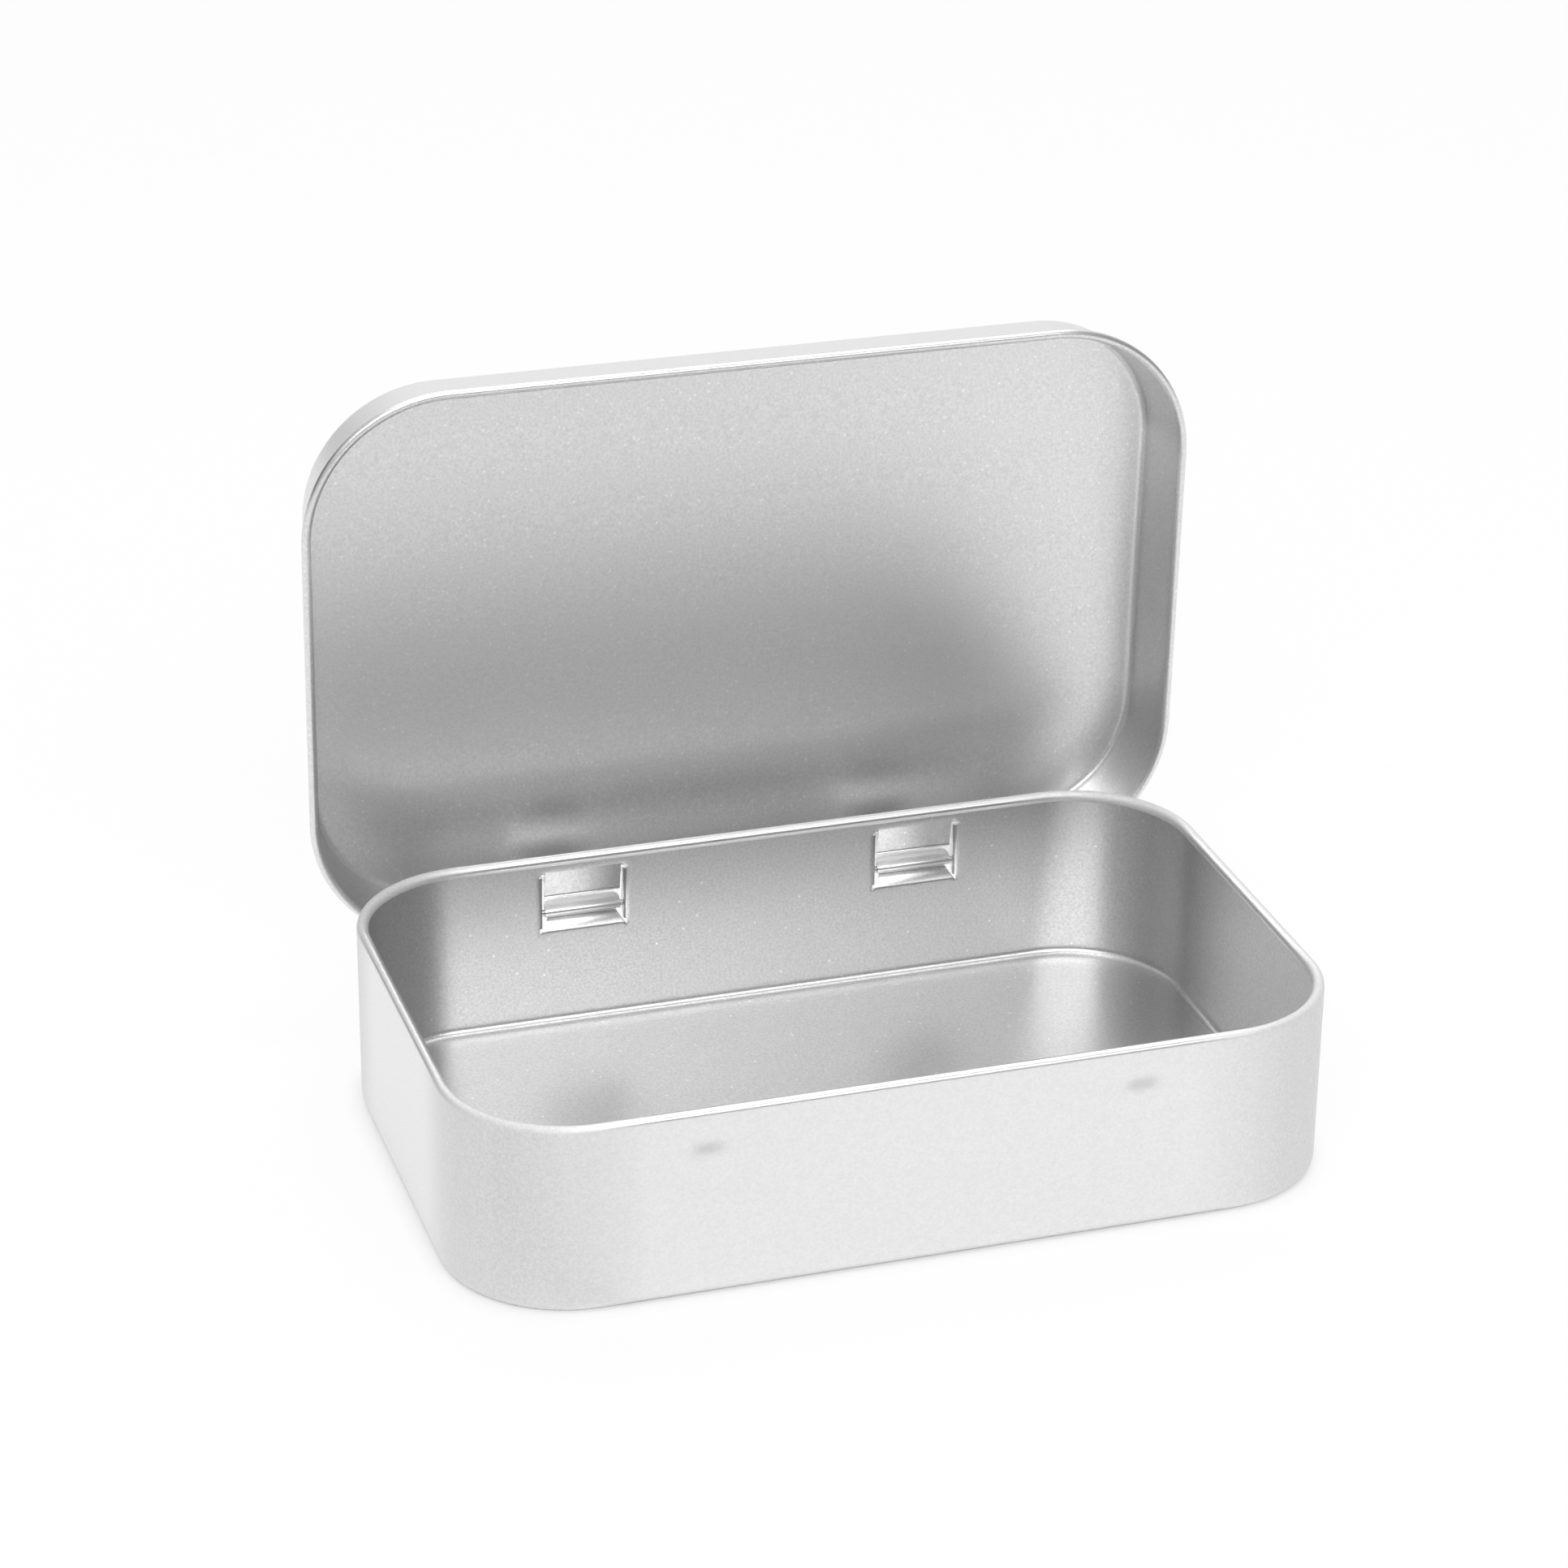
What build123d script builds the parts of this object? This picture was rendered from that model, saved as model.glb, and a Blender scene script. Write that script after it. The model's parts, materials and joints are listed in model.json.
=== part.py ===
from build123d import *
import math
import os

# A hinged mint tin of drawn tinplate. The tray stands on z = 0 with its centre on the Z axis,
# its front wall faces -Y, and the lid stands open behind it on the two hinge pins.
# Sections are drawn flat as (out, up): out is measured outwards from the face of the tray's wall.

# Sheet
sheet = 0.23
curl_sweep = 285

# Tray
tray_length = 91.2
tray_width = 58.0
tray_height = 20.2
tray_corner_radius = 12.9
tray_fold_radius = 0.8
tray_bead_diameter = 1.2

# Lid, and how it fits over the tray
lid_depth = 7.94
lid_fold_radius = 0.94
lid_bead_diameter = 0.95
lid_rim_reach = 2.1
lid_side_gap = 0.33
lid_top_gap = 0.08
lid_corner_ease = 0.4

# Snap bumps on the front wall
bump_length = 5.4
bump_height = 3.9
bump_spacing = 44.2
bump_drop = 5.1
bump_clearance = 0.45
bump_slope = 48

# Hinge
open_angle = 88
stop_gap = 0.05
hinge_offset = 0.5
hinge_spacing = 37.2
pin_diameter = 0.6
pin_overhang = 0.25
pin_end_radius = 0.1
pin_seat_gap = 0.01
running_gap = 0.03

# Windows in the back wall, with the flap, the lip and the ears pressed out of them
window_width = 8.9
window_shoulder = 0.95
window_depth = 2.2
flap_swing_gap = 0.85
flap_skirt_gap = 0.3
lip_height = 1.15
lip_reach = 0.35
ear_wall = 0.2

# Hinge tabs of the lid
tab_side_gap = 0.3
tab_wrap_end = -150
tab_end_length = 1.2
tab_corner = 1.0
notch_side_gap = 0.27
notch_ear_gap = 0.25

# How far a cutting solid runs past what it cuts
overrun = 2.0

# Derived places on the tray
tray_bead_radius = tray_bead_diameter / 2
bump_rise = lid_rim_reach - lid_bead_diameter - bump_clearance
bump_level = tray_height - bump_drop
window_top = tray_height - tray_bead_diameter - window_shoulder

# Derived places on the lid, closed
lid_bead_radius = lid_bead_diameter / 2
lid_top = tray_height + lid_top_gap + sheet
rim_bottom = lid_top - lid_depth
lid_fold_out = lid_side_gap + sheet - lid_fold_radius
lid_fold_up = lid_top - lid_fold_radius
lid_bead_out = lid_rim_reach - lid_bead_radius
lid_bead_up = rim_bottom + lid_bead_radius

# The skirt is the line that passes outside the fold and inside the rolled rim
fold_line_radius = lid_fold_radius - sheet / 2
bead_line_radius = lid_bead_radius - sheet / 2
skirt_run = math.hypot(lid_bead_out - lid_fold_out, lid_bead_up - lid_fold_up)
skirt_fall = math.atan2(lid_bead_up - lid_fold_up, lid_bead_out - lid_fold_out)
skirt_tilt = skirt_fall + math.acos((fold_line_radius + bead_line_radius) / skirt_run)

# The hinge stands at the height where the open lid's rim comes to rest on the back wall
open_turn = math.radians(open_angle)
bead_across = lid_bead_out - hinge_offset
bead_above = (lid_bead_radius + stop_gap - hinge_offset - bead_across * math.cos(open_turn)) / math.sin(open_turn)
hinge_height = lid_bead_up - bead_above
hinge_back = tray_width / 2 + hinge_offset
pin_radius = pin_diameter / 2
tab_bend_radius = pin_radius + running_gap + sheet / 2
tab_width = window_width - 2 * tab_side_gap
ear_radius = pin_radius + ear_wall
window_bottom = hinge_height - window_depth
notch_top = hinge_height + ear_radius + notch_ear_gap
notch_width = window_width + 2 * (sheet + pin_overhang + notch_side_gap)


def on_circle(centre, radius, angle):
    """Point of a circle at an angle in radians."""
    return (centre[0] + radius * math.cos(angle), centre[1] + radius * math.sin(angle))


def flat_sheet(start, end):
    """Section of flat sheet between two points of its middle line."""
    run = math.hypot(end[0] - start[0], end[1] - start[1])
    side = ((start[1] - end[1]) / run * sheet / 2, (end[0] - start[0]) / run * sheet / 2)
    left = [(point[0] + side[0], point[1] + side[1]) for point in (start, end)]
    right = [(point[0] - side[0], point[1] - side[1]) for point in (end, start)]
    return make_face(Polyline(*left, *right, close=True))


def bent_sheet(centre, radius, start_angle, sweep):
    """Section of sheet bent round a centre, its middle line at the given radius, angles in degrees."""
    inner = CenterArc(centre, radius - sheet / 2, start_angle, sweep)
    outer = CenterArc(centre, radius + sheet / 2, start_angle, sweep)
    return make_face([inner, outer, Line(inner @ 0, outer @ 0), Line(inner @ 1, outer @ 1)])


def wall_prism(section, middle, width):
    """A section at the back wall, drawn out along X about its middle."""
    placed = Pos(middle - width / 2, tray_width / 2, 0) * (Plane.YZ * section)
    return extrude(placed, width)


def carried_round(section, corner_radius):
    """A section carried round the tray's outline, with corners of the given radius."""
    upright = Plane.YZ * section
    half_runs = (tray_length / 2 - corner_radius, tray_width / 2 - corner_radius)
    reaches = (tray_width / 2, tray_length / 2)
    pieces = []
    for turn in range(4):
        half_run = half_runs[turn % 2]
        reach = reaches[turn % 2]
        side = extrude(Pos(-half_run, reach, 0) * upright, 2 * half_run)
        corner_axis = Axis((half_run, reach - corner_radius, 0), (0, 0, -1))
        corner = revolve(Pos(half_run, reach, 0) * upright, corner_axis, 90)
        pieces += [Rot(0, 0, 90 * turn) * side, Rot(0, 0, 90 * turn) * corner]
    return Part() + pieces


def flat_panel(out, corner_radius, bottom):
    """The flat panel of sheet inside a fold that starts at the given offset from the wall."""
    outline = RectangleRounded(tray_length + 2 * out, tray_width + 2 * out, corner_radius + out)
    return extrude(Pos(0, 0, bottom) * outline, sheet)


def tray_shell():
    """Floor, wall and rim rolled inwards, drawn from one sheet."""
    fold = bent_sheet((-tray_fold_radius, tray_fold_radius), tray_fold_radius - sheet / 2, -90, 90)
    bead_up = tray_height - tray_bead_radius
    wall = flat_sheet((-sheet / 2, tray_fold_radius), (-sheet / 2, bead_up))
    bead = bent_sheet((-tray_bead_radius, bead_up), tray_bead_radius - sheet / 2, 0, curl_sweep)
    ring = carried_round(Sketch() + [fold, wall, bead], tray_corner_radius)
    return ring + flat_panel(-tray_fold_radius, tray_corner_radius, 0)


def snap_bump(middle):
    """The outside of one bump and the hollow behind it."""
    face = Plane(origin=(middle, -tray_width / 2, bump_level), x_dir=(1, 0, 0), z_dir=(0, -1, 0))
    outside = extrude(face * SlotOverall(bump_length, bump_height), bump_rise, taper=bump_slope)
    inner_face = face.offset(-sheet)
    inner_outline = SlotOverall(bump_length - 2 * sheet, bump_height - 2 * sheet)
    hollow = extrude(inner_face * inner_outline, bump_rise, taper=bump_slope)
    return outside, hollow


def skirt_inside(up):
    """Offset of the closed lid's inner skirt face at a height."""
    inner_radius = lid_fold_radius - sheet
    return lid_fold_out + (inner_radius - (up - lid_fold_up) * math.sin(skirt_tilt)) / math.cos(skirt_tilt)


def tab_lines():
    """Middle line of a hinge tab, closed: its root on the skirt, its bend round the pin, its free end."""
    axis = (hinge_offset, hinge_height)
    root = (skirt_inside(notch_top) + sheet / 2, notch_top)
    root_distance = math.hypot(root[0] - axis[0], root[1] - axis[1])
    root_angle = math.atan2(root[1] - axis[1], root[0] - axis[0])
    bend_start = root_angle - math.acos(tab_bend_radius / root_distance)
    bend_end = math.radians(tab_wrap_end)
    leaves = on_circle(axis, tab_bend_radius, bend_end)
    heading = bend_end - math.pi / 2
    free_end = on_circle(leaves, tab_end_length, heading)
    return axis, root, bend_start, bend_end, leaves, free_end


def tab_swing():
    """Radius that the free end of a tab sweeps round the pin."""
    axis, *_, free_end = tab_lines()
    return math.hypot(free_end[0] - axis[0], free_end[1] - axis[1]) + sheet / 2


def window_frame(middle):
    """Flap, lip and pierced ears pressed out of one window."""
    flap_edge = hinge_height + tab_swing() + flap_swing_gap
    flap_out = skirt_inside(flap_edge) - flap_skirt_gap
    lip_edge = window_bottom + lip_height
    flap = flat_sheet((-sheet / 2, window_top), (flap_out - sheet / 2, flap_edge))
    lip = flat_sheet((-sheet / 2, window_bottom), (lip_reach, lip_edge))
    pin_boss = Pos(hinge_offset, hinge_height) * Circle(ear_radius)
    ear_lines = [Line((-sheet, window_top), (flap_out, flap_edge))]
    ear_lines += [Line((-sheet, window_bottom), (lip_reach + sheet / 2, lip_edge)), *pin_boss.edges()]
    ear = make_hull(ear_lines) - Pos(hinge_offset, hinge_height) * Circle(pin_radius + pin_seat_gap)
    ear_shift = (window_width + sheet) / 2
    pieces = [wall_prism(flap, middle, window_width), wall_prism(lip, middle, window_width)]
    pieces += [wall_prism(ear, middle + side * ear_shift, sheet) for side in (-1, 1)]
    return pieces


def make_tray():
    """The tray with its snap bumps and its hinge windows."""
    tray = tray_shell()
    for side in (-1, 1):
        outside, hollow = snap_bump(side * bump_spacing / 2)
        tray = tray + outside - hollow
        middle = side * hinge_spacing / 2
        window = Box(window_width, 2 * overrun, window_top - window_bottom)
        tray -= Pos(middle, tray_width / 2, (window_top + window_bottom) / 2) * window
        tray += window_frame(middle)
    return tray


def make_pin(middle):
    """One hinge pin, held by the two ears of its window."""
    length = window_width + 2 * (sheet + pin_overhang)
    pin = Pos(middle, hinge_back, hinge_height) * Rot(0, 90, 0) * Cylinder(pin_radius, length)
    return fillet(pin.edges().filter_by(GeomType.CIRCLE), pin_end_radius)


def hinge_tab(middle):
    """A tab of the lid, bent round the pin, with its free end's corners cut away."""
    axis, root, bend_start, bend_end, leaves, free_end = tab_lines()
    start = on_circle(axis, tab_bend_radius, bend_start)
    sweep = math.degrees(bend_end - bend_start)
    bend = bent_sheet(axis, tab_bend_radius, math.degrees(bend_start), sweep)
    knee = Pos(*root) * Circle(sheet / 2)
    shank = wall_prism(Sketch() + [flat_sheet(root, start), bend, knee], middle, tab_width)
    heading = Vector(0, free_end[0] - leaves[0], free_end[1] - leaves[1]).normalized()
    corner = Vector(middle, tray_width / 2 + leaves[0], leaves[1])
    end_plane = Plane(origin=corner, x_dir=(1, 0, 0), z_dir=Vector(1, 0, 0).cross(heading))
    half = tab_width / 2
    straight = tab_end_length - tab_corner
    outline = [(-half, 0), (half, 0), (half, straight), (half - tab_corner, tab_end_length)]
    outline += [(tab_corner - half, tab_end_length), (-half, straight)]
    end = extrude(end_plane * make_face(Polyline(*outline, close=True)), sheet / 2, both=True)
    return [shank, end]


def make_lid():
    """The lid, modelled closed on the tray and then turned open about its hinge."""
    fold_centre = (lid_fold_out, lid_fold_up)
    bead_centre = (lid_bead_out, lid_bead_up)
    tilt = math.degrees(skirt_tilt)
    fold = bent_sheet(fold_centre, fold_line_radius, tilt, 90 - tilt)
    skirt_top = on_circle(fold_centre, fold_line_radius, skirt_tilt)
    skirt_foot = on_circle(bead_centre, bead_line_radius, skirt_tilt + math.pi)
    skirt = flat_sheet(skirt_top, skirt_foot)
    bead = bent_sheet(bead_centre, bead_line_radius, tilt + 180, curl_sweep)
    corner_radius = tray_corner_radius + lid_corner_ease
    lid = carried_round(Sketch() + [fold, skirt, bead], corner_radius)
    lid += flat_panel(lid_fold_out, corner_radius, lid_top - sheet)
    notch_height = notch_top - rim_bottom + overrun
    notch_reach = lid_rim_reach + overrun
    for side in (-1, 1):
        middle = side * hinge_spacing / 2
        notch = Box(notch_width, notch_reach, notch_height, align=(Align.CENTER, Align.MIN, Align.MAX))
        lid -= Pos(middle, tray_width / 2, notch_top) * notch
        lid += hinge_tab(middle)
    return lid.rotate(Axis((0, hinge_back, hinge_height), (1, 0, 0)), -open_angle)


def main():
    """Writes one STEP file for each piece of the tin."""
    pieces = {"tin_body": make_tray(), "lid": make_lid()}
    for name, side in (("left_hinge_pin", -1), ("right_hinge_pin", 1)):
        pieces[name] = make_pin(side * hinge_spacing / 2)
    os.makedirs("parts", exist_ok=True)
    for name, piece in pieces.items():
        export_step(piece, f"parts/{name}.step")
        print(name, len(piece.solids()), "solids", round(piece.volume, 1), "mm3")
    print("hinge at y", round(hinge_back, 3), "z", round(hinge_height, 3), "rim bottom", round(rim_bottom, 3))


main()
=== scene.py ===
import json
import logging
import math
from dataclasses import dataclass, field
from enum import Enum
from typing import Callable, Sequence

import bmesh
import bpy
from mathutils import Matrix, Vector


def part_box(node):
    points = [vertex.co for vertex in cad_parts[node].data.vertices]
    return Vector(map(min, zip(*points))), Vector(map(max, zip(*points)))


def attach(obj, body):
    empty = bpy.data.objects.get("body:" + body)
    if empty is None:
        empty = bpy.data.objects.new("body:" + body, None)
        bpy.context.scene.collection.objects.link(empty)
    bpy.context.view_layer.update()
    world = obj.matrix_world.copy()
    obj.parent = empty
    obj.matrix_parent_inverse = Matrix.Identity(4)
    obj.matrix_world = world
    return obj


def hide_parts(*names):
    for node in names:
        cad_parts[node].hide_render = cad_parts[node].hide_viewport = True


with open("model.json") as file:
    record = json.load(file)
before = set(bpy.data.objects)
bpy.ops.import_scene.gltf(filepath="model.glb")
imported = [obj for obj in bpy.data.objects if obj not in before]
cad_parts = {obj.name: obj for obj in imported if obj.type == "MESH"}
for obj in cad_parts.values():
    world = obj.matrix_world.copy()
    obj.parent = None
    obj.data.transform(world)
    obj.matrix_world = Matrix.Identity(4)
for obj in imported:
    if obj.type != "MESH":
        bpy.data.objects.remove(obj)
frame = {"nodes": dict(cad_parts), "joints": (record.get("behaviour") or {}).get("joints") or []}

MM = 0.001
WELD = 0.001 * MM
PROUD = 0.0001 * MM
log = logging.getLogger("mint_tin")

Point = tuple[float, float]


class Part(Enum):
    """Which elements of a mesh are picked in edit mode."""

    VERTS = "VERT"
    EDGES = "EDGE"
    FACES = "FACE"


class Side(Enum):
    """The four straight sides of the tin, in the order that a section is carried round them."""

    BACK = 0
    RIGHT = 1
    FRONT = 2
    LEFT = 3


def linear(colour: str) -> tuple[float, float, float, float]:
    """Turns an sRGB hex colour into linear RGBA.

    Args:
        colour: Hex colour such as "#C8C8C6".

    Returns:
        Linear red, green and blue, with an alpha of 1.
    """
    def channel(start: int) -> float:
        """One channel, from its two hex digits."""
        value = int(colour[start:start + 2], 16) / 255
        return value / 12.92 if value <= 0.04045 else ((value + 0.055) / 1.055) ** 2.4

    return channel(1), channel(3), channel(5), 1.0


def add_node(tree: bpy.types.NodeTree, kind: str, settings: dict | None = None,
             values: dict | None = None, links: dict | None = None) -> bpy.types.Node:
    """Adds one shader node.

    Args:
        tree: The node tree it goes into.
        kind: The node's type name.
        settings: Attributes of the node.
        values: Socket values by input name or number.
        links: Output sockets by the input name or number that each feeds.

    Returns:
        The new node.
    """
    node = tree.nodes.new(kind)
    for name, setting in (settings or {}).items():
        setattr(node, name, setting)
    for socket, value in (values or {}).items():
        node.inputs[socket].default_value = value
    for socket, source in (links or {}).items():
        tree.links.new(source, node.inputs[socket])
    return node


def new_material(name: str) -> tuple[bpy.types.Material, bpy.types.NodeTree]:
    """Makes an empty node material.

    Args:
        name: The material's name.

    Returns:
        The material and its node tree.
    """
    material = bpy.data.materials.new(name)
    material.use_nodes = True
    material.node_tree.nodes.clear()
    return material, material.node_tree


def dress(piece: bpy.types.Object, *materials: bpy.types.Material) -> None:
    """Gives a piece its finish.

    Args:
        piece: The piece.
        materials: Its one material, or its outer and its inner one.
    """
    sides = [face.material_index for face in piece.data.polygons]
    piece.data.materials.clear()
    for material in materials:
        piece.data.materials.append(material)
    piece.data.polygons.foreach_set("material_index", [side if len(materials) > 1 else 0 for side in sides])


def arc(centre: Point, radius: float, start: float, sweep: float, steps: int) -> list[Point]:
    """Points along an arc of a section, both ends included.

    Args:
        centre: Centre of the arc, as (out, up).
        radius: Its radius.
        start: Angle of the first point, in degrees.
        sweep: Angle covered, in degrees.
        steps: Number of steps.

    Returns:
        The points in order.
    """
    angles = [math.radians(start + sweep * step / steps) for step in range(steps + 1)]
    return [(centre[0] + radius * math.cos(a), centre[1] + radius * math.sin(a)) for a in angles]


def pick(piece: bpy.types.Object, part: Part, test: Callable[[Vector], bool],
         open_only: bool = False) -> int:
    """Selects, in edit mode, only the elements whose places pass a test.

    Args:
        piece: The object in edit mode.
        part: Which elements are picked.
        test: Says of a place whether it counts. A face is tested at its middle, an edge at both ends.
        open_only: Picks only edges with one face beside them.

    Returns:
        How many elements were picked.
    """
    bpy.ops.mesh.select_all(action="DESELECT")
    bpy.ops.mesh.select_mode(type=part.value)
    mesh = bmesh.from_edit_mesh(piece.data)
    if part is Part.FACES:
        found = [face for face in mesh.faces if test(face.calc_center_median())]
    elif part is Part.EDGES:
        found = [edge for edge in mesh.edges if all(test(vert.co) for vert in edge.verts)]
        found = [edge for edge in found if not open_only or len(edge.link_faces) == 1]
    else:
        found = [vert for vert in mesh.verts if test(vert.co)]
    for element in found:
        element.select_set(True)
    mesh.select_flush_mode()
    bmesh.update_edit_mesh(piece.data)
    return len(found)


def extrude(step: Vector) -> None:
    """Extrudes what is selected by a step."""
    bpy.ops.mesh.extrude_region_move(TRANSFORM_OT_translate={"value": step})


def sweep_round(steps: int, angle: float, centre: Sequence[float], axis: Sequence[float]) -> None:
    """Carries what is selected round an axis, leaving a surface behind it.

    Args:
        steps: Number of steps.
        angle: The turn, in radians, by the right-hand rule about the axis.
        centre: A point on the axis.
        axis: Its direction.
    """
    # The spin operator turns against the right-hand rule.
    bpy.ops.mesh.spin(steps=steps, angle=-angle, center=centre, axis=axis)


def near(value: float, target: float, reach: float = 0.02 * MM) -> bool:
    """Whether a value lies at a target."""
    return abs(value - target) < reach


@dataclass
class DrawnSheet:
    """What the tray and the lid share: tinplate drawn to a section that goes round the tray's outline."""

    name: str
    length: float
    width: float
    corner_radius: float
    sheet: float = 0.23 * MM
    curl_sweep: float = 285.0
    corner_steps: int = 28
    fold_steps: int = 8
    curl_steps: int = 22
    edge_hold: float = 0.4 * MM
    edge_softness: float = 0.04 * MM
    edge_angle: float = 50.0
    edge_segments: int = 2
    corner_segments: int = 5
    smooth_angle: float = 38.0

    def run_lengths(self, side: Side) -> Point:
        """Sizes of one straight side.

        Args:
            side: The side.

        Returns:
            Half its length, and how far out its outer face is.
        """
        if side in (Side.BACK, Side.FRONT):
            return self.length / 2 - self.corner_radius, self.width / 2
        return self.width / 2 - self.corner_radius, self.length / 2

    def carry_round(self, section: Sequence[Point], stops: dict[Side, Sequence[float]]) -> bpy.types.Object:
        """Draws a section at the left end of the back side and carries it round by extruding and spinning.

        Args:
            section: The middle line of the sheet as (out, up), out from the tray's outer face.
            stops: Places along a side, from its middle, where the mesh needs a line across.

        Returns:
            The closed ring, in edit mode.
        """
        half_run, reach = self.run_lengths(Side.BACK)
        line = [Vector((-half_run, reach + out, up)) for out, up in section]
        bpy.ops.object.select_all(action="DESELECT")
        bpy.ops.mesh.primitive_plane_add(size=self.sheet, location=line[0])
        piece = bpy.context.object
        piece.name = self.name
        piece.data.name = self.name
        bpy.ops.object.transform_apply(location=True, rotation=True, scale=True)
        bpy.ops.object.mode_set(mode="EDIT")
        bpy.ops.mesh.select_mode(type="VERT")
        bpy.ops.mesh.merge(type="CENTER")
        for start, end in zip(line, line[1:]):
            extrude(end - start)
        bpy.ops.mesh.select_all(action="SELECT")
        for side in Side:
            self._carry_along(side, stops.get(side, ()))
        bpy.ops.mesh.select_all(action="SELECT")
        bpy.ops.mesh.remove_doubles(threshold=WELD)
        return piece

    def _carry_along(self, side: Side, stops: Sequence[float]) -> None:
        """Extrudes the selected section along one side and spins it round the next corner.

        Args:
            side: The side.
            stops: Lines across it, as places along it from its middle.
        """
        half_run, reach = self.run_lengths(side)
        turn = Matrix.Rotation(-side.value * math.pi / 2, 3, "Z")
        hold = half_run - self.edge_hold
        places = [-half_run, *sorted({-hold, *stops, hold}), half_run]
        for start, end in zip(places, places[1:]):
            extrude(turn @ Vector((end - start, 0, 0)))
        corner = turn @ Vector((half_run, reach - self.corner_radius, 0))
        sweep_round(self.corner_steps, math.pi / 2, corner, (0, 0, -1))

    def close_panel(self, piece: bpy.types.Object, level: float) -> None:
        """Fills the flat panel inside the section's first line, with a narrow ring that keeps it flat.

        Args:
            piece: The ring, in edit mode.
            level: Height of the panel's middle.
        """
        pick(piece, Part.EDGES, lambda at: near(at.z, level), open_only=True)
        bpy.ops.mesh.edge_face_add()
        bpy.ops.mesh.inset(thickness=self.edge_hold)

    def round_corners(self, piece: bpy.types.Object, test: Callable[[Vector], bool], radius: float) -> None:
        """Rounds the picked free corners of a sheet.

        Args:
            piece: The object in edit mode.
            test: Picks the corner points.
            radius: How far along each edge the rounding starts.
        """
        pick(piece, Part.VERTS, test)
        bpy.ops.mesh.bevel(offset=radius, segments=self.corner_segments, affect="VERTICES")

    def finish_sheet(self, piece: bpy.types.Object) -> None:
        """Gives the drawn surface its thickness, softens the cut edges and smooths it.

        Args:
            piece: The object in edit mode.
        """
        bpy.ops.mesh.select_all(action="SELECT")
        bpy.ops.mesh.remove_doubles(threshold=WELD)
        bpy.ops.mesh.normals_make_consistent(inside=False)
        bpy.ops.object.mode_set(mode="OBJECT")
        solid = piece.modifiers.new("sheet", "SOLIDIFY")
        solid.thickness = self.sheet
        solid.offset = 0
        solid.use_even_offset = True
        # The second of two empty slots marks the sheet's inner side, which has a finish of its own.
        piece.data.materials.append(None)
        piece.data.materials.append(None)
        solid.material_offset = 1
        bpy.ops.object.modifier_apply(modifier=solid.name)
        soft = piece.modifiers.new("cut edges", "BEVEL")
        soft.width = self.edge_softness
        soft.segments = self.edge_segments
        soft.limit_method = "ANGLE"
        soft.angle_limit = math.radians(self.edge_angle)
        soft.use_clamp_overlap = True
        bpy.ops.object.modifier_apply(modifier=soft.name)
        bpy.ops.object.shade_smooth_by_angle(angle=math.radians(self.smooth_angle))


@dataclass
class HingeSizes:
    """The hinge that the tray and the lid share, as the frame has it."""

    axis: Vector
    spacing: float = 37.2 * MM
    pin_radius: float = 0.3 * MM
    running_gap: float = 0.03 * MM
    seat_gap: float = 0.01 * MM
    window_width: float = 8.9 * MM
    window_depth: float = 2.2 * MM
    ear_wall: float = 0.2 * MM
    hole_sides: int = 32

    def middles(self) -> tuple[float, float]:
        """Places of the two hinges along X."""
        return -self.spacing / 2, self.spacing / 2

    def beside(self, offsets: Sequence[float]) -> list[float]:
        """Places along X on both sides of both hinges, at the given distances from their middles."""
        return [middle + side * offset for middle in self.middles() for offset in offsets
                for side in (-1, 1)]


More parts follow.
